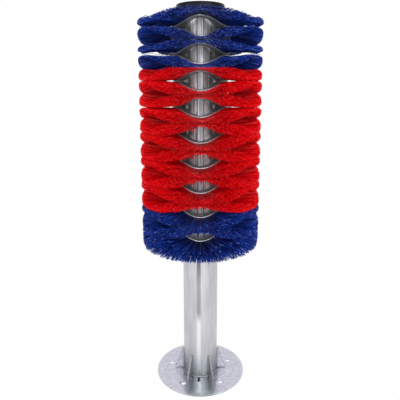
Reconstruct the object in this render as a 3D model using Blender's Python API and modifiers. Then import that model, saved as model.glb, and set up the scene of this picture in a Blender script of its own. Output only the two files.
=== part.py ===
# Rotating cow brush: a galvanised post on a floor plate, with a free-turning stack of wavy brush rings.
# Metres, +Z up. The origin is on the axis of rotation, at the floor. The front of the brush faces -Y.

import math

import bmesh
import bpy
from mathutils import Matrix, Vector

# Clearances and mesh fineness
GAP = 0.0003
RUNNING_CLEARANCE = 0.0004
OVERRUN = 0.004
MERGE_DISTANCE = 0.00001
ROUND_STEPS = 32
SMALL_STEPS = 24
HOLE_STEPS = 12
HEXAGON = 6
SMOOTH_ANGLE = math.radians(35)

# Floor plate
PLATE_RADIUS = 0.150
PLATE_THICKNESS = 0.006
ANCHOR_HOLES = 5
ANCHOR_HOLE_RADIUS = 0.008
ANCHOR_FROM_EDGE = 0.044
ANCHOR_FIRST_ANGLE = math.radians(21.5)
VENT_WIDTH = 0.009
VENT_LENGTH = 0.024
VENT_FROM_POST = 0.002
VENT_ASIDE = -0.0055

# Post and the plate that closes its head
POST_RADIUS = 0.05715
POST_WALL = 0.0036
POST_LENGTH = 0.4658
HEAD_THICKNESS = 0.010

# Gussets round the foot of the post
GUSSETS = 6
GUSSET_THICKNESS = 0.006
GUSSET_HEIGHT = 0.075
GUSSET_REACH = 0.030
GUSSET_TOE = 0.005
GUSSET_TOP = 0.005
GUSSET_SNIPE = 0.008

# Fixed axle inside the brush
AXLE_RADIUS = 0.03015
AXLE_WALL = 0.004
AXLE_PLUG = 0.020
AXLE_BELOW_HEAD = 0.060
GUIDE_THICKNESS = 0.008
THRUST_PAST_TUBE = 0.0075
THRUST_THICKNESS = 0.005
KEEPER_CLEARANCE = 0.00275
KEEPER_THICKNESS = 0.004
BOLT_RADIUS = 0.008
BOLT_LENGTH = 0.018
BOLT_HEAD_RADIUS = 0.0139
BOLT_HEAD_HEIGHT = 0.010
BOLT_HEAD_SUNK = 0.0051

# Turning tube with its bushes, flange and key bar
TUBE_RADIUS = 0.04445
TUBE_WALL = 0.0032
BUSH_LENGTH = 0.040
BUSH_LEAD = 0.0015
FLANGE_FROM_LIPS = 0.0164
FLANGE_THICKNESS = 0.008
KEY_WIDTH = 0.016
KEY_DEPTH = 0.006

# Clamping parts and cap on top of the stack
CLAMP_PLATE_THICKNESS = 0.006
COLLAR_WALL = 0.01125
COLLAR_HEIGHT = 0.014
SCREW_COUNT = 2
SCREW_RADIUS = 0.004
SCREW_SUNK = 0.001
SCREW_SOCKET_RADIUS = 0.0023
SCREW_SOCKET_DEPTH = 0.004
CAP_FROM_FLANGE = 0.002
CAP_HEADROOM = 0.0063
CAP_WALL = 0.004
CAP_CORNER = 0.003
CAP_SKIRT = 0.003

# Wavy steel channel rings and the bristles that they hold
RINGS = 18
WAVES = 3
WAVE_STEPS = 24
WAVE_HEIGHT = 0.013075
CHANNEL_DEPTH = 0.0314
CHANNEL_HEIGHT = 0.012
CHANNEL_WALL = 0.0015
CHANNEL_FLOOR = 0.003
LUG_LENGTH = 0.01525
LUG_WIDTH = 0.024
LUG_ROOT = 0.0008
LUG_SETBACK = 0.0015
BRISTLE_LENGTH = 0.0991
BLUE_AT_TOP = 4
BLUE_AT_BOTTOM = 3
TOP_SPREAD = 0.0135
MIDDLE_SPREAD = 0.019
BOTTOM_SPREAD = 0.018
TOP_PARTING = 0.003
FRINGE_DROP = 0.007
TUFT_GROOVE_SHARE = 0.22
TUFT_SHORTFALL = 0.003

# Radii that follow, from the axis outwards
TUBE_BORE = TUBE_RADIUS - TUBE_WALL
TUBE_FIT = TUBE_RADIUS + GAP
CHANNEL_INNER = TUBE_FIT + LUG_LENGTH
CHANNEL_OUTER = CHANNEL_INNER + CHANNEL_DEPTH
FLANGE_RADIUS = CHANNEL_OUTER - FLANGE_FROM_LIPS
COLLAR_RADIUS = TUBE_FIT + COLLAR_WALL
CAP_RADIUS = FLANGE_RADIUS - CAP_FROM_FLANGE
BRUSH_RADIUS = CHANNEL_OUTER + BRISTLE_LENGTH

# Heights that follow, from the floor up
POST_FOOT = PLATE_THICKNESS + GAP
POST_TOP = POST_FOOT + POST_LENGTH
HEAD_BOTTOM = POST_TOP + GAP
HEAD_TOP = HEAD_BOTTOM + HEAD_THICKNESS
THRUST_BOTTOM = HEAD_TOP + GAP
THRUST_TOP = THRUST_BOTTOM + THRUST_THICKNESS
TUBE_BOTTOM = THRUST_TOP + GAP
FLANGE_TOP = TUBE_BOTTOM + FLANGE_THICKNESS
RING_REACH = WAVE_HEIGHT + CHANNEL_HEIGHT / 2
RING_PITCH = 2 * RING_REACH + GAP
LOWEST_RING = FLANGE_TOP + GAP + RING_REACH
STACK_TOP = LOWEST_RING + (RINGS - 1) * RING_PITCH + RING_REACH
CLAMP_BOTTOM = STACK_TOP + GAP
CLAMP_TOP = CLAMP_BOTTOM + CLAMP_PLATE_THICKNESS
COLLAR_BOTTOM = CLAMP_TOP + GAP
TUBE_TOP = COLLAR_BOTTOM + COLLAR_HEIGHT
CAP_TOP = TUBE_TOP + CAP_HEADROOM + CAP_WALL
BOLT_HEAD_TOP = TUBE_TOP - BOLT_HEAD_SUNK
KEEPER_TOP = BOLT_HEAD_TOP - BOLT_HEAD_HEIGHT - GAP
KEEPER_BOTTOM = KEEPER_TOP - KEEPER_THICKNESS
AXLE_TOP = KEEPER_BOTTOM - GAP
UPPER_BUSH_TOP = AXLE_TOP - GAP
AXLE_BOTTOM = HEAD_BOTTOM - AXLE_BELOW_HEAD

FRONT = -math.pi / 2


# Scene and materials

def clear_scene():
    """Remove whatever the open file holds."""
    for item in list(bpy.data.objects):
        bpy.data.objects.remove(item, do_unlink=True)


def new_collection(name):
    collection = bpy.data.collections.new(name)
    bpy.context.scene.collection.children.link(collection)
    return collection


def linear(hex_colour):
    """Linear RGB of an sRGB colour written as six hex digits."""
    channels = [int(hex_colour[i:i + 2], 16) / 255 for i in (0, 2, 4)]
    return [c / 12.92 if c <= 0.04045 else ((c + 0.055) / 1.055) ** 2.4 for c in channels]


def new_material(name, hex_colour, roughness, metallic=0.0):
    material = bpy.data.materials.new(name)
    material.use_nodes = True
    shader = material.node_tree.nodes["Principled BSDF"]
    shader.inputs["Base Color"].default_value = (*linear(hex_colour), 1.0)
    shader.inputs["Roughness"].default_value = roughness
    shader.inputs["Metallic"].default_value = metallic
    return material


clear_scene()
PART = new_collection("rotating_cow_brush")
CUTTERS = new_collection("cutters")

GALVANISED = new_material("galvanised_steel", "B4B6C0", 0.42, 1.0)
SHEET_STEEL = new_material("galvanised_sheet", "A9AAB0", 0.38, 1.0)
FASTENER_STEEL = new_material("zinc_plated_steel", "C6C8CC", 0.3, 1.0)
BEARING_PLASTIC = new_material("acetal", "E6E3D8", 0.45)
CAP_PLASTIC = new_material("black_polyethylene", "101012", 0.4)
BLUE_BRISTLE = new_material("blue_bristle", "12309A", 0.45)
RED_BRISTLE = new_material("red_bristle", "C8000F", 0.45)


# Building blocks

def link(item, collection=PART):
    collection.objects.link(item)
    return item


def smooth(mesh):
    mesh.shade_smooth()
    mesh.set_sharp_from_angle(angle=SMOOTH_ANGLE)


def mesh_object(name, bm, material):
    """A named object from a bmesh, shaded smooth between its sharp edges."""
    mesh = bpy.data.meshes.new(name)
    bm.to_mesh(mesh)
    bm.free()
    mesh.materials.append(material)
    smooth(mesh)
    return link(bpy.data.objects.new(name, mesh))


def turned(name, profile, material, steps=ROUND_STEPS, closed=True):
    """A profile of (radius, height) points turned round Z. Its outer side runs from top to bottom."""
    mesh = bpy.data.meshes.new(name)
    points = [(radius, 0, height) for radius, height in profile]
    edges = [(i, i + 1) for i in range(len(points) - 1)]
    if closed:
        edges.append((len(points) - 1, 0))
    mesh.from_pydata(points, edges, [])
    mesh.materials.append(material)
    item = link(bpy.data.objects.new(name, mesh))
    screw = item.modifiers.new("turn", "SCREW")
    screw.steps = steps
    screw.render_steps = steps
    screw.use_merge_vertices = True
    screw.merge_threshold = MERGE_DISTANCE
    screw.use_smooth_shade = True
    return item


def ring_profile(inner, outer, bottom, top):
    """The section of a plain washer or pipe."""
    return [(outer, top), (outer, bottom), (inner, bottom), (inner, top)]


def applied(item):
    """The mesh that an object's modifiers make, as a new mesh."""
    bpy.context.view_layer.update()
    evaluated = item.evaluated_get(bpy.context.evaluated_depsgraph_get())
    return bpy.data.meshes.new_from_object(evaluated)


def apply_modifiers(item):
    """Swap an object's mesh for what its modifiers make of it."""
    mesh = applied(item)
    item.modifiers.clear()
    item.data = mesh
    smooth(mesh)


def as_cutter(item):
    """Move a helper object to the cutters, where it only shows as wire."""
    for collection in list(item.users_collection):
        collection.objects.unlink(item)
    CUTTERS.objects.link(item)
    item.hide_render = True
    item.display_type = "WIRE"
    return item


def combine(item, other, operation):
    """Cut or join one object with another, and keep the other as a cutter."""
    as_cutter(other)
    boolean = item.modifiers.new(operation.lower(), "BOOLEAN")
    boolean.solver = "EXACT"
    boolean.operation = operation
    boolean.object = other


def cylinder(name, radius, length, centre, steps, axis=Vector((0, 0, 1))):
    """A capped cylinder about a point, along an axis."""
    bm = bmesh.new()
    bmesh.ops.create_cone(bm, cap_ends=True, segments=steps, radius1=radius, radius2=radius, depth=length)
    turn = Vector((0, 0, 1)).rotation_difference(axis).to_matrix().to_4x4()
    bmesh.ops.transform(bm, matrix=Matrix.Translation(centre) @ turn, verts=bm.verts)
    mesh = bpy.data.meshes.new(name)
    bm.to_mesh(mesh)
    bm.free()
    return link(bpy.data.objects.new(name, mesh))


def block(name, size, centre, angle=0.0):
    """A box about a point, turned round the Z axis of the part."""
    bm = bmesh.new()
    bmesh.ops.create_cube(bm, size=1)
    bmesh.ops.transform(bm, matrix=Matrix.Translation(centre) @ Matrix.Diagonal((*size, 1)), verts=bm.verts)
    bmesh.ops.transform(bm, matrix=Matrix.Rotation(angle, 4, "Z"), verts=bm.verts)
    mesh = bpy.data.meshes.new(name)
    bm.to_mesh(mesh)
    bm.free()
    return link(bpy.data.objects.new(name, mesh))


def polar(radius, angle, height=0.0):
    return Vector((radius * math.cos(angle), radius * math.sin(angle), height))


def even_angles(count, first=0.0):
    return [first + i * math.tau / count for i in range(count)]


# Floor plate, post and gussets

def make_base_plate():
    """A round plate with its anchor holes and the vent and drain slot at the foot of the post."""
    middle = PLATE_THICKNESS / 2
    through = PLATE_THICKNESS + 2 * OVERRUN
    plate = cylinder("base_plate", PLATE_RADIUS, PLATE_THICKNESS, (0, 0, middle), ROUND_STEPS)
    plate.data.materials.append(GALVANISED)
    for i, angle in enumerate(even_angles(ANCHOR_HOLES, ANCHOR_FIRST_ANGLE), 1):
        cutter = cylinder(f"anchor_hole_cutter_{i}", ANCHOR_HOLE_RADIUS, through,
                          polar(PLATE_RADIUS - ANCHOR_FROM_EDGE, angle, middle), HOLE_STEPS)
        combine(plate, cutter, "DIFFERENCE")
    slot = block("vent_slot_cutter", (VENT_WIDTH, VENT_LENGTH, through),
                 (VENT_ASIDE, -(POST_RADIUS + VENT_FROM_POST + VENT_LENGTH / 2), middle))
    combine(plate, slot, "DIFFERENCE")
    apply_modifiers(plate)


def make_post():
    turned("post_tube", ring_profile(POST_RADIUS - POST_WALL, POST_RADIUS, POST_FOOT, POST_TOP), GALVANISED)
    turned("post_head", ring_profile(AXLE_RADIUS + GAP, POST_RADIUS, HEAD_BOTTOM, HEAD_TOP), GALVANISED)


def make_gussets():
    """Thin triangular plates. Their inner corner is sniped to clear the weld round the post."""
    back = POST_RADIUS + GAP
    outline = [(back, GUSSET_SNIPE), (back + GUSSET_SNIPE, 0), (back + GUSSET_REACH, 0),
               (back + GUSSET_REACH, GUSSET_TOE), (back + GUSSET_TOP, GUSSET_HEIGHT), (back, GUSSET_HEIGHT)]
    curve = bpy.data.curves.new("gusset_outline", "CURVE")
    curve.dimensions = "2D"
    curve.fill_mode = "BOTH"
    curve.extrude = GUSSET_THICKNESS / 2
    spline = curve.splines.new("POLY")
    spline.points.add(len(outline) - 1)
    for point, (x, y) in zip(spline.points, outline):
        point.co = (x, y, 0, 1)
    spline.use_cyclic_u = True
    curve.materials.append(GALVANISED)
    upright = Matrix.Rotation(math.pi / 2, 4, "X")
    lift = Matrix.Translation((0, 0, POST_FOOT))
    for i, angle in enumerate(even_angles(GUSSETS), 1):
        gusset = link(bpy.data.objects.new(f"gusset_{i}", curve))
        gusset.matrix_world = Matrix.Rotation(angle, 4, "Z") @ lift @ upright


# Fixed axle with the parts that carry and keep the brush

def make_axle():
    """A pipe with a plugged, drilled head. It runs down through the post head to a guide ring."""
    bore = BOLT_RADIUS + GAP
    inside = AXLE_RADIUS - AXLE_WALL
    turned("axle", [(AXLE_RADIUS, AXLE_TOP), (AXLE_RADIUS, AXLE_BOTTOM), (inside, AXLE_BOTTOM),
                    (inside, AXLE_TOP - AXLE_PLUG), (bore, AXLE_TOP - AXLE_PLUG), (bore, AXLE_TOP)],
           GALVANISED, SMALL_STEPS)
    turned("axle_guide_ring", ring_profile(AXLE_RADIUS + GAP, POST_RADIUS - POST_WALL - GAP,
                                           AXLE_BOTTOM, AXLE_BOTTOM + GUIDE_THICKNESS),
           GALVANISED, SMALL_STEPS)
    turned("thrust_washer", ring_profile(AXLE_RADIUS + GAP, TUBE_RADIUS + THRUST_PAST_TUBE,
                                         THRUST_BOTTOM, THRUST_TOP),
           BEARING_PLASTIC)
    turned("keeper_washer", ring_profile(BOLT_RADIUS + GAP, TUBE_BORE - KEEPER_CLEARANCE,
                                         KEEPER_BOTTOM, KEEPER_TOP),
           FASTENER_STEEL, SMALL_STEPS)


def make_keeper_bolt():
    """A hexagon bolt into the axle's plug. Its head holds the keeper washer over the upper bush."""
    head = cylinder("keeper_bolt", BOLT_HEAD_RADIUS, BOLT_HEAD_HEIGHT,
                    (0, 0, BOLT_HEAD_TOP - BOLT_HEAD_HEIGHT / 2), HEXAGON)
    head.data.materials.append(FASTENER_STEEL)
    shank_bottom = AXLE_TOP - BOLT_LENGTH
    shank_top = BOLT_HEAD_TOP - BOLT_HEAD_HEIGHT / 2
    shank = cylinder("keeper_bolt_shank", BOLT_RADIUS, shank_top - shank_bottom,
                     (0, 0, (shank_top + shank_bottom) / 2), HOLE_STEPS)
    combine(head, shank, "UNION")
    apply_modifiers(head)


# Turning tube and what is fixed to it

def make_tube():
    turned("brush_tube", ring_profile(TUBE_BORE, TUBE_RADIUS, TUBE_BOTTOM, TUBE_TOP), SHEET_STEEL)
    turned("lower_flange", ring_profile(TUBE_FIT, FLANGE_RADIUS, TUBE_BOTTOM, FLANGE_TOP), GALVANISED)
    key_height = STACK_TOP - FLANGE_TOP - GAP
    key = block("drive_key", (KEY_WIDTH, KEY_DEPTH, key_height),
                (0, -(TUBE_FIT + KEY_DEPTH / 2), STACK_TOP - key_height / 2))
    key.data.materials.append(SHEET_STEEL)


def make_bush(name, bottom):
    """A plain bush, pressed into the tube, that runs on the axle. Both ends have a lead-in."""
    bore = AXLE_RADIUS + RUNNING_CLEARANCE
    outer = TUBE_BORE - GAP
    top = bottom + BUSH_LENGTH
    turned(name, [(outer - BUSH_LEAD, top), (outer, top - BUSH_LEAD), (outer, bottom + BUSH_LEAD),
                  (outer - BUSH_LEAD, bottom), (bore, bottom), (bore, top)], BEARING_PLASTIC, SMALL_STEPS)


def make_clamp():
    """The plate and the locking collar that hold the rings down, and the collar's screws."""
    turned("clamp_plate", ring_profile(TUBE_FIT, FLANGE_RADIUS, CLAMP_BOTTOM, CLAMP_TOP), GALVANISED)
    collar = turned("locking_collar", ring_profile(TUBE_FIT, COLLAR_RADIUS, COLLAR_BOTTOM, TUBE_TOP),
                    GALVANISED)
    middle = (COLLAR_BOTTOM + TUBE_TOP) / 2
    length = COLLAR_WALL - SCREW_SUNK
    for i, angle in enumerate(even_angles(SCREW_COUNT, -FRONT), 1):
        outward = polar(1, angle)
        centre = polar(TUBE_FIT + length / 2, angle, middle)
        cutter = cylinder(f"collar_hole_cutter_{i}", SCREW_RADIUS + GAP, length + 2 * OVERRUN,
                          centre, HOLE_STEPS, outward)
        combine(collar, cutter, "DIFFERENCE")
        screw = cylinder(f"collar_screw_{i}", SCREW_RADIUS, length, centre, HOLE_STEPS, outward)
        screw.data.materials.append(FASTENER_STEEL)
        socket = cylinder(f"screw_socket_cutter_{i}", SCREW_SOCKET_RADIUS, 2 * SCREW_SOCKET_DEPTH,
                          centre + outward * length / 2, HEXAGON, outward)
        combine(screw, socket, "DIFFERENCE")
        apply_modifiers(screw)
    apply_modifiers(collar)


def make_cap():
    """A moulded cap over the collar: a rounded outer wall, and an inner skirt that grips the collar."""
    corner = [(CAP_RADIUS - CAP_CORNER + CAP_CORNER * math.sin(angle),
               CAP_TOP - CAP_CORNER + CAP_CORNER * math.cos(angle))
              for angle in (0, math.pi / 6, math.pi / 3, math.pi / 2)]
    ceiling = CAP_TOP - CAP_WALL
    inside = CAP_RADIUS - CAP_WALL
    skirt = COLLAR_RADIUS + GAP
    profile = [(0, CAP_TOP)] + corner
    profile += [(CAP_RADIUS, COLLAR_BOTTOM), (inside, COLLAR_BOTTOM), (inside, ceiling)]
    profile += [(skirt + CAP_SKIRT, ceiling), (skirt + CAP_SKIRT, COLLAR_BOTTOM), (skirt, COLLAR_BOTTOM),
                (skirt, ceiling), (0, ceiling)]
    turned("top_cap", profile, CAP_PLASTIC, closed=False)


# Brush rings: a wavy channel bent round the tube, with a fan of bristles in its mouth

def wave(angle):
    """1 on a crest and -1 in a trough, with a crest at the front."""
    return math.cos(WAVES * (angle - FRONT))


def lofted_ring(section_at):
    """A closed ring through the sections that a function gives round the circle, as (radius, height).
    Each cell is split along the same diagonal, so that rings with like sections nest without touching."""
    bm = bmesh.new()
    rows = []
    for angle in even_angles(WAVE_STEPS):
        rows.append([bm.verts.new(polar(radius, angle, height)) for radius, height in section_at(angle)])
    for row, following in zip(rows, rows[1:] + rows[:1]):
        for i in range(len(row)):
            bm.faces.new((row[i - 1], following[i - 1], following[i]))
            bm.faces.new((row[i - 1], following[i], row[i]))
    bmesh.ops.recalc_face_normals(bm, faces=bm.faces)
    return bm, rows


def channel_section(angle, side):
    """A U lying on its back: the mouth faces outwards, and the whole section follows the wave."""
    lift = side * WAVE_HEIGHT * wave(angle)
    half = CHANNEL_HEIGHT / 2
    lip = half - CHANNEL_WALL
    floor = CHANNEL_INNER + CHANNEL_FLOOR
    section = [(CHANNEL_INNER, half), (CHANNEL_OUTER, half), (CHANNEL_OUTER, lip), (floor, lip),
               (floor, -lip), (CHANNEL_OUTER, -lip), (CHANNEL_OUTER, -half), (CHANNEL_INNER, -half)]
    return [(radius, height + lift) for radius, height in section]


def fan_kind(number):
    """The material of a ring's bristles, how far they spread to each side of the ring, and how far they
    stay from the bristles of the ring that makes a pair with it."""
    if number <= BLUE_AT_TOP:
        return BLUE_BRISTLE, TOP_SPREAD, TOP_PARTING
    if number > RINGS - BLUE_AT_BOTTOM:
        return BLUE_BRISTLE, BOTTOM_SPREAD, 0
    return RED_BRISTLE, MIDDLE_SPREAD, 0


def window_edge(crest):
    """How far the edge of a window lies above its middle. A fan's rim leaves the window as narrow as it is
    between the channels. The crest is -1 at the window's middle and 1 where the rings meet."""
    from_middle = math.acos(-crest) / WAVES
    across = min(math.sin(from_middle) * BRUSH_RADIUS / CHANNEL_OUTER, math.sin(math.pi / WAVES))
    return WAVE_HEIGHT * (1 + math.cos(WAVES * math.asin(across)))


def fan_rim(angle, side, number):
    """Top and bottom height of a fan's rim. It stops at the middle between two rings and at the windows,
    and the lowest fan hangs lower."""
    crest = side * wave(angle)
    lift = WAVE_HEIGHT * crest
    spread, parting = fan_kind(number)[1:]
    above, below = (0, parting) if number % 2 else (parting, 0)
    room = (RING_PITCH - GAP) / 2
    top = min(lift + spread, room - max(window_edge(crest), above))
    bottom = max(lift - spread, max(window_edge(-crest), below) - room)
    return top, bottom - (FRINGE_DROP if number == RINGS else 0)


def bristle_section(angle, side, number):
    """A fan that fills the channel's groove and opens outwards from its mouth to the rim."""
    lift = side * WAVE_HEIGHT * wave(angle)
    top, bottom = fan_rim(angle, side, number)
    root = CHANNEL_INNER + CHANNEL_FLOOR + GAP
    mouth = CHANNEL_HEIGHT / 2 - CHANNEL_WALL - GAP
    return [(BRUSH_RADIUS, top), (CHANNEL_OUTER, lift + mouth), (root, lift + mouth),
            (root, lift - mouth), (CHANNEL_OUTER, lift - mouth), (BRUSH_RADIUS, bottom)]


def make_bristle_ring(number, side):
    """A ring of bristle, parted into tufts: the rim gets a point between every two sections, and that
    point stands back from the rim and from both faces of the fan."""
    bm, rows = lofted_ring(lambda angle: bristle_section(angle, side, number))
    rim = [bm.edges.get((row[end], following[end]))
           for row, following in zip(rows, rows[1:] + rows[:1]) for end in (0, -1)]
    parted = bmesh.ops.subdivide_edges(bm, edges=rim, cuts=1)["geom_inner"]
    for point in (item for item in parted if isinstance(item, bmesh.types.BMVert)):
        angle = math.atan2(point.co.y, point.co.x)
        top, bottom = fan_rim(angle, side, number)
        middle = side * WAVE_HEIGHT * wave(angle)
        edge = top if point.co.z > middle else bottom
        point.co = polar(BRUSH_RADIUS - TUFT_SHORTFALL, angle, edge + TUFT_GROOVE_SHARE * (middle - edge))
    return mesh_object(f"bristle_ring_{number:02d}", bm, fan_kind(number)[0])


def make_channel_mesh(side):
    """The steel ring with its inner lugs. The front lug is notched to straddle the key bar."""
    bm = lofted_ring(lambda angle: channel_section(angle, side))[0]
    ring = mesh_object("channel_pattern", bm, SHEET_STEEL)
    lug_outer = CHANNEL_INNER + LUG_ROOT
    lug_height = CHANNEL_HEIGHT - 2 * LUG_SETBACK
    height = side * WAVE_HEIGHT
    for i, angle in enumerate(even_angles(WAVES), 1):
        lug = block(f"lug_{side}_{i}", (LUG_WIDTH, lug_outer - TUBE_FIT, lug_height),
                    (0, -(TUBE_FIT + lug_outer) / 2, height), angle)
        combine(ring, lug, "UNION")
    notch_outer = TUBE_FIT + KEY_DEPTH + GAP
    notch_inner = TUBE_FIT - OVERRUN
    notch = block(f"key_notch_{side}",
                  (KEY_WIDTH + 2 * GAP, notch_outer - notch_inner, lug_height + 2 * OVERRUN),
                  (0, -(notch_inner + notch_outer) / 2, height))
    combine(ring, notch, "DIFFERENCE")
    mesh = applied(ring)
    smooth(mesh)
    bpy.data.objects.remove(ring)
    return mesh


def make_brush_rings():
    """The stack from the top down. Every second ring is turned by half a wave, so the rings meet in
    their crests and leave lens-shaped windows between."""
    channels = {side: make_channel_mesh(side) for side in (1, -1)}
    for number in range(1, RINGS + 1):
        side = 1 if number % 2 else -1
        height = LOWEST_RING + (RINGS - number) * RING_PITCH
        channel = link(bpy.data.objects.new(f"channel_ring_{number:02d}", channels[side]))
        channel.location.z = height
        make_bristle_ring(number, side).location.z = height


make_base_plate()
make_post()
make_gussets()
make_axle()
make_keeper_bolt()
make_tube()
make_bush("lower_bush", TUBE_BOTTOM)
make_bush("upper_bush", UPPER_BUSH_TOP - BUSH_LENGTH)
make_clamp()
make_cap()
make_brush_rings()
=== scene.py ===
"""A rotating cow brush: a stack of wavy bristle rings that turns on a galvanised post."""

import math

import bmesh
import bpy
import numpy as np
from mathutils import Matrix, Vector


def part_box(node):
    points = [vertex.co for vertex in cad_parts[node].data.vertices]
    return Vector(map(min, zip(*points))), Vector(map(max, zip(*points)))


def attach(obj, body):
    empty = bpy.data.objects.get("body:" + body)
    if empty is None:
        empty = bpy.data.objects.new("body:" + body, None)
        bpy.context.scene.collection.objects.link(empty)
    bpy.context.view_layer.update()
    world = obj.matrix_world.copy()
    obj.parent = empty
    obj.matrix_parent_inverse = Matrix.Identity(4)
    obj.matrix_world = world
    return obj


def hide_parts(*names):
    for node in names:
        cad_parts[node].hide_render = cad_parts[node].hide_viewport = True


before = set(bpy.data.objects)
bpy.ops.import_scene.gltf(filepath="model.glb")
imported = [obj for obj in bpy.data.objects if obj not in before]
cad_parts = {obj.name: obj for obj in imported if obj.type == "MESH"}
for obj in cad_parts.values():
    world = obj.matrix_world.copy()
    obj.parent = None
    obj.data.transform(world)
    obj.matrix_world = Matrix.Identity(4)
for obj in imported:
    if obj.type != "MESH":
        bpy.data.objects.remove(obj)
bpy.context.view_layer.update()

MM = 0.001
FRONT = -math.pi / 2

# Sizes of the solids that their boxes don't state. Two pieces that touch are CLEAR apart
CLEAR = 0.3 * MM
PLATE_RADIUS = 150 * MM
PLATE_THICKNESS = 6 * MM
ANCHOR_CIRCLE = 106 * MM
ANCHOR_ANGLES = [math.radians(21.5 + 72 * i) for i in range(5)]
ANCHOR_RADIUS = 8 * MM
VENT_PLACE = np.array([-5.5, -71.15]) * MM
VENT_HALVES = (4.5 * MM, 11.6 * MM)
POST_RADIUS = 57.15 * MM
POST_WALL = 3.6 * MM
GUSSETS = 6
GUSSET_THICKNESS = 6 * MM
GUSSET_REACH = 30 * MM
AXLE_HOLE = 30.45 * MM
TUBE_RADIUS = 44.45 * MM
TUBE_BORE = 41.25 * MM
KEY_HALF_WIDTH = 8 * MM
RINGS = 18
BLUE_AT_TOP = 4
BLUE_AT_BOTTOM = 3
PITCH = 38.45 * MM
WAVES = 3
WAVE_HEIGHT = 13.075 * MM
CHANNEL_INNER = 60 * MM
CHANNEL_OUTER = 91.4 * MM
CHANNEL_HALF = 6 * MM

# The vent is a rounded oblong: an oval of this power
VENT_POWER = 5

# Width of the rolled lips on both sides of a channel's mouth, and half the height of the strands in the mouth
LIP = 4.2 * MM
MOUTH_HALF = 2.2 * MM

# Strands of one fan, and the clumps that their tips gather in. A strand has its rows of points at these shares
# of the way from the channel's mouth, 0, to its tip, 1
STRANDS = 5000
STRAND_SHARES = np.array([-0.12, 0.22, 0.6, 1.0])
CLUMPS = 130
BRUSH_RADIUS = 190.5 * MM

# Half of what a fan spreads over at its tips: the top fans one by one, and all the others
TOP_SPREADS = [17 * MM, 15 * MM, 12 * MM, 17 * MM]
SPREAD = 17.5 * MM

# Half the gap above fan 1, between fans 1 and 2, and so on down, each where the channels meet and in front of a
# window. All the others are CROSSED: below zero, two fans run into each other
HALF_GAPS = np.array([(0, 0), (8.5, 8.5), (1, 1), (9.5, 9.5), (2.5, 2.5), (-0.5, 5.5), (-1.2, -1.2),
                      (0.8, 11)]) * MM
CROSSED = np.array([-1.2, -1.2]) * MM

# By how much the outermost strands of a fan are shorter, how far the top fans droop over the front windows, and
# how low the fringe under the brush reaches
ROUNDING = 12 * MM
DROOP = 9 * MM
FRINGE_LEVEL = 472 * MM


# Numpy surfaces

def skin(points, wrap=(False, False), flip=False):
    """Quads between neighbours on a grid of points[row, column]. wrap joins the last row or column to the
    first. A quad's normal is the row step crossed with the column step, or its opposite with flip."""
    rows, columns = points.shape[:2]
    i, j = np.meshgrid(np.arange(rows - (not wrap[0])), np.arange(columns - (not wrap[1])), indexing="ij")
    here, below = i * columns, (i + 1) % rows * columns
    beside = (j + 1) % columns
    quads = np.stack([here + j, below + j, below + beside, here + beside], -1).reshape(-1, 4)
    return points.reshape(-1, 3), [quads[:, ::-1] if flip else quads]


def revolved(profile, closed=False, angles=np.arange(128) * math.tau / 128):
    """P(i, a) = (r_i cos a, r_i sin a, z_i). The profile runs down on its outer side."""
    profile = np.asarray(profile, float)
    points = np.stack([profile[:, :1] * np.cos(angles), profile[:, :1] * np.sin(angles),
                       np.repeat(profile[:, 1:], len(angles), 1)], -1)
    return skin(points, (closed, True))


def rounded(corners, radius, steps=4):
    """A closed section whose corners are rounded: each is swept by the quadratic curve
    (1-t)^2 A + 2t(1-t) C + t^2 B, where A and B lie the radius before and after the corner C."""
    corners = np.asarray(corners, float)

    def towards(other):
        run = other - corners
        length = np.linalg.norm(run, axis=1, keepdims=True)
        return corners + run / length * np.minimum(radius, 0.45 * length)

    t = np.linspace(0, 1, steps)[None, :, None]
    start, end = towards(np.roll(corners, 1, 0))[:, None], towards(np.roll(corners, -1, 0))[:, None]
    return ((1 - t) ** 2 * start + 2 * t * (1 - t) * corners[:, None] + t ** 2 * end).reshape(-1, 2)


def ring_section(inner, outer, bottom, top, radius=0.6 * MM):
    """The rounded section of a washer or pipe, for revolved."""
    return rounded([(outer, top), (outer, bottom), (inner, bottom), (inner, top)], radius)


def rod(path, radius, sides=8):
    """A tube of varying radius along a path: P(i, k) = path_i + radius_i (cos k U_i + sin k V_i), where U and V
    are square to the path. Both ends are closed by a polygon."""
    run = np.gradient(path, axis=0)
    run /= np.linalg.norm(run, axis=1, keepdims=True)
    helper = np.where(np.abs(run[:, 2:]) < 0.9, (0, 0, 1.0), (1.0, 0, 0))
    u = np.cross(helper, run)
    u /= np.linalg.norm(u, axis=1, keepdims=True)
    v = np.cross(run, u)
    k = np.arange(sides) * math.tau / sides
    offset = np.cos(k)[None, :, None] * u[:, None] + np.sin(k)[None, :, None] * v[:, None]
    vertices, faces = skin(path[:, None] + radius[:, None, None] * offset, (False, True), flip=True)
    ends = np.arange(sides)
    return vertices, faces + [ends[None, ::-1], (ends + (len(path) - 1) * sides)[None]]


def slab(outline, thickness, chamfer, place):
    """A flat plate from a convex outline, run anticlockwise. Its four rows are the outline shrunk by the
    chamfer at one face, the full outline twice at the sides, and the shrunk one at the other face. place holds
    its three axes, as the columns of a matrix, and its middle."""
    outline = np.asarray(outline, float)
    run = np.roll(outline, -1, 0) - outline
    run /= np.linalg.norm(run, axis=1, keepdims=True)
    inward = np.stack([-run[:, 1], run[:, 0]], -1)
    last = np.roll(inward, 1, 0)
    shrunk = outline + chamfer * (inward + last) / (1 + np.sum(inward * last, 1, keepdims=True))
    half = thickness / 2
    rows = [(shrunk, half), (outline, half - chamfer), (outline, chamfer - half), (shrunk, -half)]
    points = np.stack([np.column_stack([flat, np.full(len(flat), height)]) for flat, height in rows])
    vertices, faces = skin(points, (False, True))
    k = np.arange(len(outline))
    axes, middle = np.array(place[0]), np.array(place[1])
    return vertices @ axes.T + middle, faces + [k[None], (k + 3 * len(k))[None, ::-1]]


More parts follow.
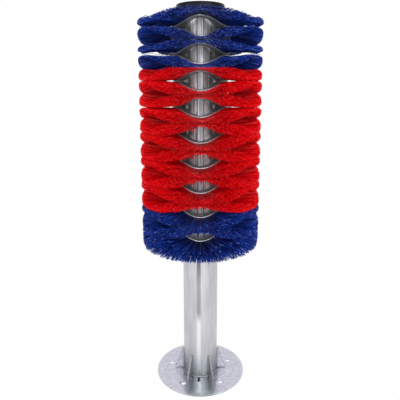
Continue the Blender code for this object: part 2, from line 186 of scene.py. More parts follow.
def oval(ray, halves, power):
    """Distance from the centre of an oval to its edge along unit rays: (|x/a|^p + |y/b|^p)^(-1/p)."""
    return np.sum(np.abs(ray / np.array(halves)) ** power, 1, keepdims=True) ** (-1 / power)


def piece(name, shells, material, body, nodes=(), merge=False, dye_and_painted_light=None):
    vertices = np.concatenate([shell[0] for shell in shells])
    first = np.cumsum([0] + [len(shell[0]) for shell in shells])
    faces = [polygons + start for shell, start in zip(shells, first) for polygons in shell[1]]
    corners = np.concatenate([polygons.ravel() for polygons in faces])
    counts = np.concatenate([np.full(len(polygons), polygons.shape[1]) for polygons in faces])
    mesh = bpy.data.meshes.new(name)
    mesh.vertices.add(len(vertices))
    mesh.vertices.foreach_set("co", vertices.astype(np.float32).ravel())
    mesh.loops.add(len(corners))
    mesh.loops.foreach_set("vertex_index", corners.astype(np.int32))
    mesh.polygons.add(len(counts))
    mesh.polygons.foreach_set("loop_start", (np.cumsum(counts) - counts).astype(np.int32))
    mesh.update(calc_edges=True)
    if dye_and_painted_light is not None:
        mesh.attributes.new("dye_and_painted_light", "FLOAT", "POINT").data.foreach_set("value", dye_and_painted_light.astype(np.float32))
    if merge:
        bm = bmesh.new()
        bm.from_mesh(mesh)
        bmesh.ops.remove_doubles(bm, verts=bm.verts, dist=0.001 * MM)
        bm.to_mesh(mesh)
        bm.free()
    mesh.shade_smooth()
    mesh.set_sharp_from_angle(angle=math.radians(40))
    mesh.materials.append(material)
    item = bpy.data.objects.new(name, mesh)
    bpy.context.scene.collection.objects.link(item)
    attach(item, body)
    if nodes:
        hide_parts(*nodes)


# Materials

def linear(hex_colour):
    """Linear colour of an sRGB one written in hex."""
    channels = [int(hex_colour[i:i + 2], 16) / 255 for i in (0, 2, 4)]
    return (*[c / 12.92 if c <= 0.04045 else ((c + 0.055) / 1.055) ** 2.4 for c in channels], 1.0)


def add(tree, kind, sockets=None, **settings):
    """Adds a node. sockets maps an input's name or number to a value or to another node's output."""
    node = tree.nodes.new(kind)
    for key, value in settings.items():
        setattr(node, key, value)
    for key, value in (sockets or {}).items():
        if isinstance(value, bpy.types.NodeSocket):
            tree.links.new(value, node.inputs[key])
        else:
            node.inputs[key].default_value = value
    return node


def new_material(name):
    """A material, its tree, its Principled shader and the place of a point on the object."""
    material = bpy.data.materials.new(name)
    material.use_nodes = True
    tree = material.node_tree
    return material, tree, tree.nodes["Principled BSDF"], add(tree, "ShaderNodeTexCoord").outputs["Object"]


def beside_plane(tree, place, middle=0.0):
    """Distance from the upright plane x = middle."""
    x = add(tree, "ShaderNodeSeparateXYZ", {0: place}).outputs[0]
    across = add(tree, "ShaderNodeMath", {0: x, 1: middle}, operation="SUBTRACT").outputs[0]
    return add(tree, "ShaderNodeMath", {0: across}, operation="ABSOLUTE").outputs[0]


def from_axis(tree, place):
    """Distance from the axis of rotation."""
    flat = add(tree, "ShaderNodeVectorMath", {0: place, 1: (1, 1, 0)}, operation="MULTIPLY").outputs[0]
    return add(tree, "ShaderNodeVectorMath", {0: flat}, operation="LENGTH").outputs["Value"]


def shaded(tree, colour, measure, start, end, first, last):
    """The colour times a factor that goes from first to last while the measure goes from start to end."""
    factor = add(tree, "ShaderNodeMapRange", {"Value": measure, "From Min": start, "From Max": end,
                                              "To Min": first, "To Max": last}).outputs[0]
    return add(tree, "ShaderNodeVectorMath", {0: colour, "Scale": factor}, operation="SCALE").outputs[0]


def painted_reflection_and_foot_shade(tree, place, cloud, colour):
    """A band down the pipe's front is a painted reflection: bright low down, grey above that, and dark under
    the brush. Painted shade darkens the foot all round, where the pipe meets the plate."""
    _, y, z = add(tree, "ShaderNodeSeparateXYZ", {0: place}).outputs
    aside = beside_plane(tree, place, -5.3 * MM)
    in_reflection = add(tree, "ShaderNodeMapRange", {"Value": aside, "From Min": 7.8 * MM,
                                              "From Max": 4.8 * MM}).outputs[0]
    ahead = add(tree, "ShaderNodeMath", {0: y, 1: 0.0}, operation="LESS_THAN").outputs[0]
    reflection_band = add(tree, "ShaderNodeMath", {0: in_reflection, 1: ahead}, operation="MULTIPLY").outputs[0]
    run = linear("606266")
    # Painted reflection: the band is bright low down, grey above that and dark under the brush
    for lower, start, end in (("A0A2A5", 345 * MM, 440 * MM), ("EDEDF0", 205 * MM, 245 * MM)):
        height = add(tree, "ShaderNodeMapRange", {"Value": z, "From Min": start, "From Max": end}).outputs[0]
        run = add(tree, "ShaderNodeMix", {"Factor": height, 6: linear(lower), 7: run},
                  data_type="RGBA").outputs[2]
    colour = add(tree, "ShaderNodeMix", {"Factor": reflection_band, 6: colour, 7: run}, data_type="RGBA").outputs[2]
    # Painted shade: darker towards the foot, where the pipe meets the plate
    return shaded(tree, colour, z, PLATE_THICKNESS, 110 * MM, 0.66, 1.0)


def painted_shadow_lines_and_side_shade(tree, place, cloud, colour):
    """Two painted shadow lines run along the tube beside the key bar, and painted shade darkens its sides."""
    aside = beside_plane(tree, place)
    from_shadow_line = add(tree, "ShaderNodeMath", {0: aside, 1: 9.8 * MM}, operation="SUBTRACT").outputs[0]
    from_shadow_line = add(tree, "ShaderNodeMath", {0: from_shadow_line}, operation="ABSOLUTE").outputs[0]
    # Painted shadow: two dark lines beside the key bar
    colour = shaded(tree, colour, from_shadow_line, 2.0 * MM, 1.2 * MM, 1.0, 0.22)
    # Painted shade: darker on the tube's sides
    return shaded(tree, colour, aside, 23 * MM, 33 * MM, 1.0, 0.32)


def painted_post_reflection_and_shade(tree, place, cloud, colour):
    """A painted reflection of the post darkens the front of the plate in cloudy patches, and painted shade lies
    round the post.
    """
    y = add(tree, "ShaderNodeSeparateXYZ", {0: place}).outputs[1]
    aside = beside_plane(tree, place)
    in_reflection = add(tree, "ShaderNodeMapRange", {"Value": aside, "From Min": 58 * MM,
                                              "From Max": 32 * MM}).outputs[0]
    ahead = add(tree, "ShaderNodeMapRange", {"Value": y, "From Min": -45 * MM,
                                             "From Max": -60 * MM}).outputs[0]
    share = add(tree, "ShaderNodeMath", {0: in_reflection, 1: ahead}, operation="MULTIPLY").outputs[0]
    share = add(tree, "ShaderNodeMath", {0: share, 1: cloud}, operation="MULTIPLY").outputs[0]
    # Painted reflection of the post: cloudy darker patches on the front of the plate
    reflection_share = add(tree, "ShaderNodeMapRange", {"Value": share, "From Min": 0.0, "From Max": 0.45}).outputs[0]
    # Painted shade: the plate darker round the post's foot
    near = add(tree, "ShaderNodeMapRange", {"Value": from_axis(tree, place), "From Min": 92 * MM,
                                            "From Max": 58 * MM}).outputs[0]
    dull = add(tree, "ShaderNodeMath", {0: reflection_share, 1: near}, operation="MAXIMUM").outputs[0]
    return add(tree, "ShaderNodeMix", {"Factor": dull, 6: colour, 7: linear("9AA2A4")},
               data_type="RGBA").outputs[2]


def painted_channel_shade(tree, place, cloud, colour):
    """Painted shade: the strip is darker inside a channel's lips, which stay pale."""
    lips = CHANNEL_OUTER - 4 * MM
    # Painted shade: the strip darker inside the lips
    return shaded(tree, colour, from_axis(tree, place), lips - 1.2 * MM, lips, 0.55, 1.0)


def zinc(name, light, dark, roughness, grain, streak=1.0, film=0.0, marks=None):
    """Zinc on steel. The zinc sets in spangle of the given grain, which gives patches of slightly different
    grey, and drawn or rolled stock shows fine lines along it. grain is in metres, and streak stretches it along
    Z. film is the share of dull oxide on the metal, and marks paints reflection or shade into the colour."""
    material, tree, shader, place = new_material(name)
    stretched = add(tree, "ShaderNodeMapping", {"Vector": place, "Scale": (1, 1, 1 / streak)}).outputs[0]
    cells = add(tree, "ShaderNodeTexVoronoi", {"Vector": stretched, "Scale": 1 / grain, "Randomness": 1.0})
    spangle = add(tree, "ShaderNodeSeparateColor", {0: cells.outputs["Color"]}).outputs[0]
    cloud = add(tree, "ShaderNodeTexNoise", {"Vector": stretched, "Scale": 1 / (3 * grain), "Detail": 4.0,
                                             "Roughness": 0.6}).outputs[0]
    fine = add(tree, "ShaderNodeTexNoise", {"Vector": stretched, "Scale": 4 / grain, "Detail": 3.0}).outputs[0]
    patchy = add(tree, "ShaderNodeMath", {0: spangle, 1: cloud}, operation="ADD").outputs[0]
    share = add(tree, "ShaderNodeMapRange", {"Value": patchy, "From Min": 0.35, "From Max": 1.35}).outputs[0]
    colour = add(tree, "ShaderNodeMix", {"Factor": share, 6: linear(dark), 7: linear(light)},
                 data_type="RGBA").outputs[2]
    if marks:
        colour = marks(tree, place, cloud, colour)
    rough = add(tree, "ShaderNodeMapRange", {"Value": cloud, "From Min": 0.3, "From Max": 0.7,
                                             "To Min": roughness - 0.06, "To Max": roughness + 0.08}).outputs[0]
    bump = add(tree, "ShaderNodeBump", {"Height": fine, "Strength": 0.12, "Distance": 0.2 * MM}).outputs[0]
    for socket, value in {"Base Color": colour, "Roughness": rough, "Normal": bump}.items():
        tree.links.new(value, shader.inputs[socket])
    shader.inputs["Metallic"].default_value = 1 - film
    return material


def plastic(name, light, dark, roughness, grain, shine=0.5):
    """Moulded or turned plastic: one colour with a faint cloud in it, and a fine grain from the tool."""
    material, tree, shader, place = new_material(name)
    cloud = add(tree, "ShaderNodeTexNoise", {"Vector": place, "Scale": 1 / (20 * MM), "Detail": 3.0}).outputs[0]
    colour = add(tree, "ShaderNodeMix", {"Factor": cloud, 6: linear(dark), 7: linear(light)},
                 data_type="RGBA").outputs[2]
    texture = add(tree, "ShaderNodeTexNoise", {"Vector": place, "Scale": 1 / grain, "Detail": 2.0}).outputs[0]
    bump = add(tree, "ShaderNodeBump", {"Height": texture, "Strength": 0.15, "Distance": 0.1 * MM}).outputs[0]
    tree.links.new(colour, shader.inputs["Base Color"])
    tree.links.new(bump, shader.inputs["Normal"])
    shader.inputs["Roughness"].default_value = roughness
    shader.inputs["Specular IOR Level"].default_value = shine
    return material


def filament(name, light, dark, painted_glint):
    """Extruded polypropylene filament: each strand takes the dye a little differently. A strand's share of the
    lighter colour is its own, with painted shade towards its root, and a noise 8 mm long varies it along the
    strand. Where the share goes past one, the tip takes the last colour given, a pale painted highlight."""
    material, tree, shader, place = new_material(name)
    dye_and_painted_light = add(tree, "ShaderNodeAttribute", attribute_name="dye_and_painted_light").outputs["Fac"]
    along = add(tree, "ShaderNodeTexNoise", {"Vector": place, "Scale": 1 / (8 * MM), "Detail": 2.0}).outputs[0]
    mixed = add(tree, "ShaderNodeMath", {0: dye_and_painted_light, 1: along}, operation="MULTIPLY").outputs[0]
    share = add(tree, "ShaderNodeMapRange", {"Value": mixed, "From Min": 0.0, "From Max": 0.5}).outputs[0]
    colour = add(tree, "ShaderNodeMix", {"Factor": share, 6: linear(dark), 7: linear(light)},
                 data_type="RGBA").outputs[2]
    # Painted highlight: where the share goes past one, the tip turns pale
    end = add(tree, "ShaderNodeMapRange", {"Value": dye_and_painted_light, "From Min": 1.2, "From Max": 2.0}).outputs[0]
    colour = add(tree, "ShaderNodeMix", {"Factor": end, 6: colour, 7: linear(painted_glint)},
                 data_type="RGBA").outputs[2]
    tree.links.new(colour, shader.inputs["Base Color"])
    shader.inputs["Roughness"].default_value = 0.4
    shader.inputs["Specular IOR Level"].default_value = 0.22
    return material


# Hot-dipped pipe: calm light grey, its spangle drawn out along the pipe, with a painted reflection down its
# front and painted shade at its foot
POST_ZINC = zinc("hot_dip_galvanised_pipe", "CDCDD1", "BBBBC0", 0.42, 7 * MM, streak=10.0, marks=painted_reflection_and_foot_shade)
# Hot-dipped plate: the smoothest zinc, so it mirrors the room in a faint lilac white, with a painted reflection
# of the post in front of it and painted shade round the post
PLATE_ZINC = zinc("hot_dip_galvanised_plate", "CECEDA", "B8B8C6", 0.23, 7 * MM, marks=painted_post_reflection_and_shade)
# Hot-dipped cut plate: a darker, even grey, so that the gussets stand out from the post
GUSSET_ZINC = zinc("hot_dip_galvanised_cut_plate", "A8A8AF", "98989F", 0.42, 6 * MM)
# Strip that was galvanised before rolling: soft pale lips that outline each window, against painted shade on
# the strip inside them
STRIP_ZINC = zinc("pre_galvanised_strip", "E6E6EC", "C8C8D0", 0.5, 5 * MM, marks=painted_channel_shade)
# Drawn tube: bright and dark lines along it, two painted shadow lines beside the key bar, and painted shade on
# its sides
TUBE_ZINC = zinc("drawn_galvanised_tube", "FAFAFC", "808184", 0.44, 2.6 * MM, streak=60.0, film=0.3,
                 marks=painted_shadow_lines_and_side_shade)
# Drawn bar: darker than the tube, with still finer lines
BAR_ZINC = zinc("drawn_galvanised_bar", "98989C", "4A4B4E", 0.45, 1.4 * MM, streak=90.0)
# Zinc over weld metal: rough and matt, a soft grey line at the foot
WELD_ZINC = zinc("zinc_over_weld", "A6A8AE", "8A8C92", 0.58, 3 * MM)
# Bright plated zinc: small cold highlights on the bolts
BOLT_ZINC = zinc("bright_zinc_plating", "DADCE0", "C0C2C6", 0.25, 2 * MM)
# Turned acetal: creamy white with faint tool marks
ACETAL = plastic("turned_acetal", "ECE9DE", "DFDCD0", 0.45, 0.4 * MM)
# Moulded polyethylene: near black, with a dull sheen along the cap's edge
CAP_PLASTIC = plastic("moulded_black_polyethylene", "08080A", "030304", 0.36, 0.6 * MM, shine=0.13)
# Flat black: painted shade that fills the vent, a dark spot at the foot
VENT_SHADE_BLACK = plastic("painted_vent_shade_black", "161616", "0A0A0A", 0.65, 0.6 * MM)
# Dyed filament: single strands dyed lighter at random, painted shade towards the roots, and painted highlights
# on a few pale tips
BLUE = filament("blue_polypropylene_filament", "2850C8", "060F4C", "7888D4")
RED = filament("red_polypropylene_filament", "FF0816", "D00008", "FF3844")


# Standing part

def holed_plate():
    """The floor plate. Round each hole lies a cell of straight rays from the hole's rounded edge to the cell's
    border: the anchor holes' borders are fifths of a ring, and the vent's is the disc inside them. Each cell
    runs over the top, down the hole's wall and back under the plate, and the plate's rounded rim closes
    them."""
    edge, middle = 0.7 * MM, 84.6 * MM
    rim = PLATE_RADIUS - edge
    quarter = np.linspace(0, math.pi / 2, 4)
    shells = []

    def cell(centre, halves, power, border):
        ray = border - centre
        ray /= np.linalg.norm(ray, axis=1, keepdims=True)
        radius = oval(ray, halves, power)
        hole = centre + (radius + edge) * ray
        rows = [(hole * (1 - share) + border * share, 0) for share in (1.0, 0.55, 0.2, 0.0)]
        rows += [(centre + (radius + edge * (1 - math.sin(t))) * ray, edge * (1 - math.cos(t)))
                 for t in quarter[1:]]
        upper = np.stack([np.column_stack([row, np.full(len(row), PLATE_THICKNESS - down)])
                          for row, down in rows])
        lower = upper[::-1] * (1, 1, -1) + (0, 0, PLATE_THICKNESS)
        shells.append(skin(np.concatenate([upper, lower]), (False, True), flip=True))

    def arc(radius, start, end, steps):
        a = np.linspace(start, end, steps, endpoint=False)
        return np.column_stack([radius * np.cos(a), radius * np.sin(a)])

    half = math.pi / len(ANCHOR_ANGLES)
    inner_border = []
    for angle in ANCHOR_ANGLES:
        before, at, after = [np.array([math.cos(a), math.sin(a)]) for a in (angle - half, angle, angle + half)]
        side = np.linspace(rim, middle, 6, endpoint=False)[:, None]
        border = np.concatenate([arc(rim, angle - half, angle + half, 24), side * after,
                                 arc(middle, angle + half, angle - half, 16),
                                 [before * middle], (side * before)[:0:-1]])
        cell(at * ANCHOR_CIRCLE, (ANCHOR_RADIUS, ANCHOR_RADIUS), 2, border)
        inner_border.append(arc(middle, angle - half, angle + half, 16))
    cell(VENT_PLACE, VENT_HALVES, VENT_POWER, np.concatenate(inner_border))
    upper = [(rim + edge * math.sin(t), PLATE_THICKNESS - edge * (1 - math.cos(t))) for t in quarter]
    profile = upper + [(r, PLATE_THICKNESS - z) for r, z in upper[::-1]]
    a = [np.linspace(angle - half, angle + half, 24, endpoint=False) for angle in ANCHOR_ANGLES]
    shells.append(revolved(profile, angles=np.concatenate(a)))
    return shells


def gusset(foot, top, angle):
    """A triangular plate with a cut toe, a narrow top and a sniped corner, stood upright on the floor plate."""
    back = POST_RADIUS + CLEAR
    outline = [(back + 8 * MM, foot), (back + GUSSET_REACH, foot), (back + GUSSET_REACH, foot + 5 * MM),
               (back + 5 * MM, top), (back, top), (back, foot + 8 * MM)]
    c, s = math.cos(angle), math.sin(angle)
    return slab(outline, GUSSET_THICKNESS, 0.7 * MM, ([[c, 0, s], [s, 0, -c], [0, 1, 0]], (0, 0, 0)))


def weld(start, end, radius, seed):
    """A bead along a straight line. Its radius swells and shrinks as each pass of the torch freezes."""
    rng = np.random.default_rng(seed)
    length = np.linalg.norm(np.subtract(end, start))
    t = np.linspace(0, 1, 25)[:, None]
    path = np.asarray(start) * (1 - t) + np.asarray(end) * t
    ripple = 1 + 0.1 * np.sin(t[:, 0] * length / (4 * MM) * math.tau + rng.uniform(0, 6))
    taper = np.clip(np.minimum(t[:, 0], 1 - t[:, 0]) * 9, 0.35, 1)
    return rod(path, radius * ripple * taper)


def foot_welds(low, high):
    """A rippled ring of weld round the post's foot, and a bead on both sides of each gusset, up the post and
    along the floor plate. The ring is P(k, a) = ((R + b cos k) cos a, (R + b cos k) sin a, z + b sin k), where
    b swells and shrinks 88 times along a."""
    a = np.arange(240) * math.tau / 240
    k = (np.arange(10) * math.tau / 10)[:, None]
    size = 2.6 * MM * (1 + 0.07 * np.sin(88 * a))
    around = POST_RADIUS + 1.0 * MM + size * np.cos(k)
    points = np.stack([around * np.cos(a), around * np.sin(a),
                       PLATE_THICKNESS + 1.0 * MM + size * np.sin(k)], -1)
    beads = [skin(points, (True, True), flip=True)]
    back, floor = POST_RADIUS + CLEAR, PLATE_THICKNESS + 0.6 * MM
    runs = [((back + 0.4 * MM, low.z + 10 * MM), (back + 0.4 * MM, high.z)),
            ((back + 10 * MM, floor), (back + GUSSET_REACH, floor))]
    for i in range(GUSSETS):
        c, s = math.cos(i * math.tau / GUSSETS), math.sin(i * math.tau / GUSSETS)
        for side in (-3.2 * MM, 3.2 * MM):
            for j, run in enumerate(runs):
                ends = [(r * c - side * s, r * s + side * c, z) for r, z in run]
                beads.append(weld(*ends, 1.9 * MM, 10 * i + 2 * j + (side > 0)))
    return beads


def painted_vent_shade_fill():
    """A black fill with a rounded edge, set in the vent as painted shade for the dark hole: each row is the
    vent's oval at a share of its size and at a height.
    """
    a = np.arange(48) * math.tau / 48
    ray = np.column_stack([np.cos(a), np.sin(a)])
    edge = oval(ray, VENT_HALVES, VENT_POWER) - 0.2 * MM
    rows = [np.column_stack([VENT_PLACE + ray * edge * share, np.full(len(ray), PLATE_THICKNESS + up * MM)])
            for share, up in ((0, 0.3), (0.85, 0.3), (0.97, 0), (1, -0.8), (1, -4), (0, -4))]
    return skin(np.stack(rows), (False, True))


def build_standing():
    """All that stands still: floor plate, post, gussets and welds, and the ring that the brush rests on."""
    piece("floor_plate", holed_plate(), PLATE_ZINC, "root", ["base_plate"], merge=True)
    low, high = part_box("post_tube")
    piece("post", [revolved(ring_section(POST_RADIUS - POST_WALL, POST_RADIUS, low.z, high.z), closed=True)],
          POST_ZINC, "root", ["post_tube"])
    low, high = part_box("post_head")
    piece("post_head_plate", [revolved(ring_section(AXLE_HOLE, POST_RADIUS, low.z, high.z), closed=True)],
          PLATE_ZINC, "root", ["post_head"])
    low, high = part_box("thrust_washer")
    piece("thrust_ring", [revolved(ring_section(AXLE_HOLE, high.x, low.z, high.z), closed=True)],
          ACETAL, "root", ["thrust_washer"])
    low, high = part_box("gusset_1")
    for i in range(GUSSETS):
        piece(f"gusset_plate_{i + 1}", [gusset(low.z, high.z, i * math.tau / GUSSETS)], GUSSET_ZINC, "root",
              [f"gusset_{i + 1}"])
    piece("foot_welds", foot_welds(low, high), WELD_ZINC, "root")
    # Painted shade: a black fill stands for the dark inside of the vent
    piece("painted_vent_shade_fill", [painted_vent_shade_fill()], VENT_SHADE_BLACK, "root", merge=True)


# Turning part

def channel(number, side, height):
    """One wavy ring: P(s, a) = (r_s cos a, r_s sin a, z_s + h + H cos 3a), where (r_s, z_s) is a channel
    section with a rolled lip on both sides of its mouth. Three lugs stand between the ring and the tube, and
    the front one is shorter because it sits on the key bar."""
    bead = LIP / 2
    t = np.linspace(math.pi / 2, -math.pi * 0.9, 8)
    lip = np.column_stack([CHANNEL_OUTER - bead + bead * np.cos(t), CHANNEL_HALF - bead + bead * np.sin(t)])
    corner = [(CHANNEL_INNER, CHANNEL_HALF - 1.4 * MM), (CHANNEL_INNER + 0.4 * MM, CHANNEL_HALF - 0.4 * MM),
              (CHANNEL_INNER + 1.4 * MM, CHANNEL_HALF)]
    groove = [(CHANNEL_INNER + 3 * MM, CHANNEL_HALF - 1.5 * MM)]
    top = np.concatenate([corner, lip, groove])
    section = np.concatenate([top, top[::-1] * (1, -1)])
    a = np.arange(144) * math.tau / 144
    lift = side * WAVE_HEIGHT * np.cos(WAVES * (a - FRONT))
    shells = [skin(np.stack([section[:, :1] * np.cos(a), section[:, :1] * np.sin(a),
                             section[:, 1:] + lift + height], -1), (True, True))]
    lug = [(-12 * MM, -4.5 * MM), (12 * MM, -4.5 * MM), (12 * MM, 4.5 * MM), (-12 * MM, 4.5 * MM)]
    end = CHANNEL_INNER + 0.8 * MM
    for i in range(WAVES):
        angle = FRONT + i * math.tau / WAVES
        c, s = math.cos(angle), math.sin(angle)
        start = TUBE_RADIUS + (CLEAR if i else 6.6 * MM)
        middle = (start + end) / 2
        axes = [[-s, 0, c], [c, 0, s], [0, 1, 0]]
        place = (axes, (middle * c, middle * s, height + side * WAVE_HEIGHT))
        shells.append(slab(lug, end - start, 0.8 * MM, place))
    piece(f"channel_{number:02d}", shells, STRIP_ZINC, "rotor",
          [f"channel_ring_{number:02d}"])


def window_edge(facing, r):
    """How far a fan has to stay from the middle of a window, at a strand r from the axis. The window stays as
    narrow outside as it is between the channels, and their lips stay in sight, which are s wide:
    (H + s / 2) (1 + cos(3 asin(r / R sin d))), with d the angle from the window's middle."""
    from_middle = np.arccos(np.clip(-facing, -1, 1)) / WAVES
    across = np.minimum(np.sin(from_middle) * r / CHANNEL_OUTER, math.sin(math.pi / WAVES))
    return (WAVE_HEIGHT + LIP / 2) * (1 + np.cos(WAVES * np.arcsin(across)))


def parting_of(number, facing, v):
    """How far each strand stays from the middle between its fan and the next: the half gap where the channels
    meet, going over to the one in front of a window as the facing share goes from 1 to -1."""
    above, below = [HALF_GAPS[i] if i < len(HALF_GAPS) else CROSSED for i in (number - 1, number)]
    met, opened = np.where(v[:, None] > 0, above, below).T[:, :, None]
    return met + (opened - met) * (1 - facing) / 2


def strand_offsets(rng, number, v, facing, parting, r, fall):
    """v t(f), by which each strand leaves its wave: t(f) = m + (s - m) f^1.2 grows from m at the mouth to half
    the fan's spread, s, but never past its parting or into a window. Some strands are unbound and cross it.
    Nothing limits the upper side of fan 1, and the underside of the lowest fan falls to the level of the
    fringe."""
    free = np.maximum(STRAND_SHARES[None], 0)
    spread = TOP_SPREADS[number - 1] if number <= BLUE_AT_TOP else SPREAD
    thickness = MOUTH_HALF + (spread - MOUTH_HALF) * free ** 1.2 * np.ones((STRANDS, 1))
    room = PITCH / 2 - WAVE_HEIGHT * facing - np.maximum(window_edge(facing, r), parting)
    at_front_window = (v < 0) if number % 2 else (v > 0)
    unbound = np.where(at_front_window, 0.16 if number % 2 and number > 8 else 0.05, 0.3)
    unbound[parting[:, 0] > 0] = 0.012
    room[rng.random(STRANDS) < unbound] = PITCH / 2
    if number == 1:
        room[v > 0] = BRUSH_RADIUS
    if number == RINGS - BLUE_AT_BOTTOM:
        thickness[v < 0] *= 0.7
    if number == RINGS:
        lowest = v < 0
        thickness[lowest] = MOUTH_HALF + (fall - MOUTH_HALF)[lowest] * free ** 1.2
        room[lowest] = BRUSH_RADIUS
    return v[:, None] * np.minimum(thickness, room)


def strand_shell(centre, thick, c, s, turn):
    """Closed rods with three sides: P(n, i, k) = centre_ni + thick_ni (cos k T_n + sin k Z), where T_n runs
    round the brush, Z runs up, and k goes round from the strand's own turn."""
    k = turn + np.arange(3) * math.tau / 3
    tangent = np.stack([-s, c, np.zeros_like(s)], -1)[:, :, None]
    offset = np.cos(k)[..., None] * tangent + np.sin(k)[..., None] * np.array([0, 0, 1.0])
    points = (centre[:, :, None] + thick[:, :, None, None] * offset).reshape(-1, 3)
    rows = len(STRAND_SHARES)
    start = (np.arange(STRANDS) * rows * 3)[:, None, None]
    row = (np.arange(rows - 1) * 3)[None, :, None]
    here, beside = np.arange(3)[None, None], np.roll(np.arange(3), -1)[None, None]
    quads = np.stack([start + row + here, start + row + beside, start + row + 3 + beside,
                      start + row + 3 + here], -1).reshape(-1, 4)
    roots = start[:, 0] + np.array([0, 2, 1])
    tips = start[:, 0] + (rows - 1) * 3 + np.arange(3)
    return points, [quads, roots, tips]


def bristles(number, side, height, material):
    """A fan of strands. Strand n stands at angle a and at a share v, from -1 to 1, of the fan's thickness, and
    runs out radially: z(f) = h + H cos 3a + v t(f) + bend f^2, where f goes from 0 at the channel's mouth to 1
    at the tip. It leans aside by a like amount, a little towards the middle of its clump, and one in twenty
    strays. The outermost strands of a fan are shorter by ROUNDING |v|^3, so its rim is round. The top fans
    droop by DROOP ((1 + cos 3a) / 2)^2 f^1.5. A strand thickens from root to tip, as the crimped ones spread.
    Its share of the lighter dye is random and less towards the root, as painted shade, and 2 at a few tips, as
    painted highlights."""
    rng = np.random.default_rng(400 + number)
    a = (np.arange(STRANDS) + rng.uniform(-0.5, 0.5, STRANDS)) * math.tau / STRANDS
    v = rng.uniform(-1, 1, STRANDS)
    if number == RINGS:
        v = np.where(rng.random(STRANDS) < 0.8, -np.abs(v) ** 0.55, np.abs(v))
    crest = side * np.cos(WAVES * (a - FRONT))
    level = height + (WAVE_HEIGHT * crest)[:, None]
    facing = (crest * np.sign(v))[:, None]
    parting = parting_of(number, facing, v)
    loose = np.where(parting[:, 0] > 0, 0.3, 1.0)
    stray = rng.random(STRANDS) < 0.05
    bend = (rng.normal(0, 0.8 * MM, STRANDS) + stray * rng.normal(0, 3 * MM, STRANDS)) * loose
    clump = (np.floor(a / math.tau * CLUMPS + v) + 0.5 - v) * math.tau / CLUMPS
    gather, shorter = (0.35, 1.0) if number < RINGS else (0.15, 0.4)
    aside = gather * (clump - a) * BRUSH_RADIUS + rng.normal(0, 1.2 * MM, STRANDS)
    aside += stray * rng.normal(0, 6 * MM, STRANDS)
    tip = BRUSH_RADIUS - np.abs(rng.normal(0, 2.2 * MM, STRANDS)) - stray * rng.uniform(0, 10 * MM, STRANDS)
    tip -= ROUNDING * np.abs(v) ** 3 * shorter
    r = CHANNEL_OUTER + (tip - CHANNEL_OUTER)[:, None] * STRAND_SHARES[None]
    free = np.maximum(STRAND_SHARES[None], 0)
    z = level + strand_offsets(rng, number, v, facing, parting, r, level - FRINGE_LEVEL)
    z += bend[:, None] * free ** 2
    if number <= BLUE_AT_TOP:
        sag = np.where(v > 0, 0.9, 0.35) if number == 1 else np.ones(STRANDS)
        z -= DROOP * (sag * ((1 + side * crest) / 2) ** 2)[:, None] * free ** 1.5
    sideways = aside[:, None] * free ** 2
    c, s = np.cos(a)[:, None], np.sin(a)[:, None]
    centre = np.stack([r * c - sideways * s, r * s + sideways * c, z], -1)
    thick = (0.5 + 0.35 * free) * MM * np.ones((STRANDS, 1))
    shell = strand_shell(centre, thick, c, s, rng.uniform(0, math.tau, (STRANDS, 1, 1)))
    # Painted shade: less of the lighter dye towards the root
    dye_and_painted_light = rng.uniform(0, 1, STRANDS)[:, None] ** 1.5 * (0.45 + 0.55 * free)
    # Painted highlight: a pale colour at one tip in twenty
    dye_and_painted_light[rng.random(STRANDS) < 0.05, -1] = 2
    piece(f"bristles_{number:02d}", [shell], material, "rotor", [f"bristle_ring_{number:02d}"],
          dye_and_painted_light=np.repeat(dye_and_painted_light.ravel(), 3))


def cap_profile(low, high):
    """From the middle of the cap's crown out over its rounded corner, down the rim, and back inside round the
    skirt that grips the locking collar."""
    radius, wall, corner, sharp = high.x, 4 * MM, 3.5 * MM, 0.6 * MM
    outer, inner, inside = 59.3 * MM, 56.3 * MM, high.z - wall
    profile = [(0, high.z)]
    profile += [(radius - corner + corner * math.sin(t), high.z - corner + corner * math.cos(t))
                for t in np.linspace(0, math.pi / 2, 8)]
    return profile + [(radius, low.z + sharp), (radius - sharp, low.z), (radius - wall, low.z),
                      (radius - wall, inside), (outer, inside), (outer, low.z), (inner, low.z),
                      (inner, inside), (0, inside)]


def build_turning():
    """All that turns: the tube with its key bar, flange, clamp and cap, and the channels with their fans."""
    low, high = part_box("brush_tube")
    piece("tube", [revolved(ring_section(TUBE_BORE, TUBE_RADIUS, low.z, high.z), closed=True)],
          TUBE_ZINC, "rotor", ["brush_tube"])
    low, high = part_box("drive_key")
    section = [(-KEY_HALF_WIDTH, low.y), (KEY_HALF_WIDTH, low.y), (KEY_HALF_WIDTH, high.y),
               (-KEY_HALF_WIDTH, high.y)]
    piece("key_bar", [slab(section, high.z - low.z, 0.8 * MM, (np.eye(3), (0, 0, (low.z + high.z) / 2)))],
          BAR_ZINC, "rotor", ["drive_key"])
    for name, node in (("stack_flange", "lower_flange"), ("stack_clamp", "clamp_plate")):
        low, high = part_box(node)
        section = ring_section(TUBE_RADIUS + CLEAR, high.x, low.z, high.z, 1.0 * MM)
        piece(name, [revolved(section, closed=True)], PLATE_ZINC, "rotor", [node])
    low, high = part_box("top_cap")
    piece("cap", [revolved(cap_profile(low, high))], CAP_PLASTIC, "rotor", ["top_cap"],
          merge=True)
    for number in range(1, RINGS + 1):
        low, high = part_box(f"channel_ring_{number:02d}")
        side = 1 if number % 2 else -1
        height = (low.z + high.z) / 2
        blue = number <= BLUE_AT_TOP or number > RINGS - BLUE_AT_BOTTOM
        channel(number, side, height)
        bristles(number, side, height, BLUE if blue else RED)


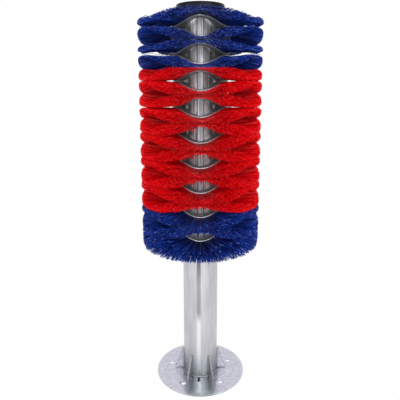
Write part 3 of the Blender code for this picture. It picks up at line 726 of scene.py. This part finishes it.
def finish_hidden():
    """The solids that stay as packed get the finishes of their slots."""
    finishes = {"axle": PLATE_ZINC, "axle_guide_ring": PLATE_ZINC, "keeper_washer": BOLT_ZINC,
                "keeper_bolt": BOLT_ZINC, "lower_bush": ACETAL, "upper_bush": ACETAL,
                "locking_collar": PLATE_ZINC, "collar_screw_1": BOLT_ZINC, "collar_screw_2": BOLT_ZINC}
    for node, material in finishes.items():
        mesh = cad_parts[node].data
        mesh.materials.clear()
        mesh.materials.append(material)


# Studio

def build_room(scene):
    """White room: the camera and reflections see plain white, and the world lights the object."""
    world = bpy.data.worlds.new("white_room")
    scene.world = world
    world.use_nodes = True
    tree = world.node_tree
    tree.nodes.clear()
    path = add(tree, "ShaderNodeLightPath").outputs
    seen = add(tree, "ShaderNodeMath", {0: path["Is Camera Ray"], 1: path["Is Glossy Ray"]},
               operation="MAXIMUM").outputs[0]
    seen = add(tree, "ShaderNodeMath", {0: seen, 1: path["Is Transmission Ray"]},
               operation="MAXIMUM").outputs[0]
    light = add(tree, "ShaderNodeBackground", {"Color": (1, 1, 1, 1), "Strength": 0.62}).outputs[0]
    white = add(tree, "ShaderNodeBackground", {"Color": (1, 1, 1, 1), "Strength": 1.0}).outputs[0]
    mix = add(tree, "ShaderNodeMixShader", {0: seen, 1: light, 2: white}).outputs[0]
    add(tree, "ShaderNodeOutputWorld", {"Surface": mix})


def build_floor(scene):
    """White paper that fades into the room. A share of it glows for the camera, and the rest takes shadow."""
    material = bpy.data.materials.new("white_floor_paper")
    material.use_nodes = True
    tree = material.node_tree
    tree.nodes.clear()
    path = add(tree, "ShaderNodeLightPath").outputs
    seen = add(tree, "ShaderNodeMath", {0: path["Is Camera Ray"], 1: path["Is Glossy Ray"]},
               operation="MAXIMUM").outputs[0]
    place = add(tree, "ShaderNodeTexCoord").outputs["Object"]
    away = add(tree, "ShaderNodeVectorMath", {0: place}, operation="LENGTH").outputs["Value"]
    even = add(tree, "ShaderNodeMapRange", {"Value": away, "From Min": 0.3, "From Max": 0.8, "To Min": 0.97,
                                            "To Max": 1.0}).outputs[0]
    share = add(tree, "ShaderNodeMath", {0: seen, 1: even}, operation="MULTIPLY").outputs[0]
    paper = add(tree, "ShaderNodeBsdfDiffuse", {"Color": (0.9, 0.9, 0.9, 1)}).outputs[0]
    glow = add(tree, "ShaderNodeEmission", {"Color": (1, 1, 1, 1), "Strength": 1.0}).outputs[0]
    mix = add(tree, "ShaderNodeMixShader", {0: share, 1: paper, 2: glow}).outputs[0]
    add(tree, "ShaderNodeOutputMaterial", {"Surface": mix})
    mesh = bpy.data.meshes.new("floor")
    mesh.from_pydata([(-30, -30, 0), (30, -30, 0), (30, 30, 0), (-30, 30, 0)], [], [(0, 1, 2, 3)])
    mesh.materials.append(material)
    floor = bpy.data.objects.new("floor", mesh)
    scene.collection.objects.link(floor)


def build_studio():
    """The room, its floor, three soft lamps that face the middle of the object, and the camera."""
    scene = bpy.context.scene
    scene.view_settings.view_transform = "Standard"
    build_room(scene)
    build_floor(scene)
    for name, place, size, watts in (("key", (1.4, -2.0, 2.1), 1.6, 26), ("fill", (-1.6, -1.9, 1.5), 1.6, 15),
                                     ("front", (0.1, -2.6, 1.2), 1.0, 26)):
        lamp = bpy.data.lights.new(name, "AREA")
        lamp.size, lamp.energy = size, watts
        item = bpy.data.objects.new(name, lamp)
        item.location = place
        item.rotation_euler = (Vector((0, 0, 0.7)) - Vector(place)).to_track_quat("-Z", "Y").to_euler()
        scene.collection.objects.link(item)

    # The camera fitted to the photo: its field of view, place and tilt
    camera = bpy.data.cameras.new("camera")
    camera.sensor_width, camera.lens = 36, 40.32
    camera.shift_x, camera.shift_y = -0.001, -0.0528
    item = bpy.data.objects.new("camera", camera)
    item.location = (0, -1.421, 0.983)
    item.rotation_euler = (math.radians(90 - 11.78), 0, 0)
    scene.collection.objects.link(item)
    scene.camera = item


build_studio()
build_standing()
build_turning()
finish_hidden()
